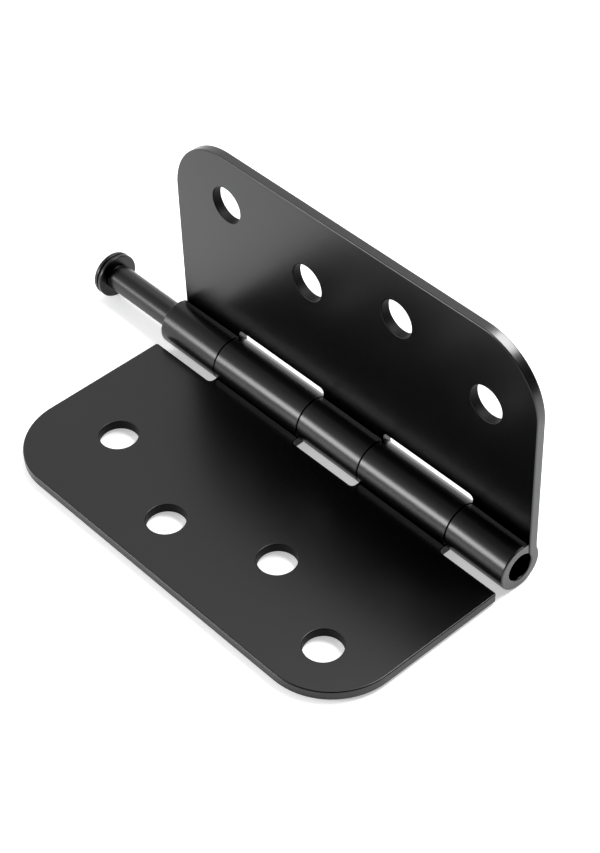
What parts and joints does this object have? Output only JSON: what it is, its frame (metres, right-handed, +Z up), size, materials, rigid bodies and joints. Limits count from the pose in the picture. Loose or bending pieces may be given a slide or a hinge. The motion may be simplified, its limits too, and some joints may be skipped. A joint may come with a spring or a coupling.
{
  "type": "door hinge",
  "caption": "Loose-pin butt hinge with rounded leaves, zigzag screw holes, interleaved knuckles and a removable headed pin.",
  "frame": {"origin": "middle of the flat leaf's mounting face, half way from its outer edge to the pin axis", "axes": "+Z up from the mounting face, +X toward the pin, +Y along the pin toward its head"},
  "size_m": [0.056, 0.125, 0.056],
  "materials": {
    "black_coat": "satin black powder coat",
    "pin_coat": "satin black coat on a smooth turned pin"
  },
  "bodies": {
    "flat_leaf": {"flat_leaf": "black_coat"},
    "upright_leaf": {"upright_leaf": "black_coat"},
    "hinge_pin": {"hinge_pin": "pin_coat"}
  },
  "joints": [
    {"name": "leaf_swing", "type": "hinge", "parent": "flat_leaf", "child": "upright_leaf", "pos_m": [0.0254, 0, 0.0046], "axis": [0, 1, 0], "range_deg": [-90, 180]},
    {"name": "pin_slide", "type": "slide", "parent": "upright_leaf", "child": "hinge_pin", "axis": [0, 1, 0], "range_m": [-0.021, 0.08]}
  ]
}
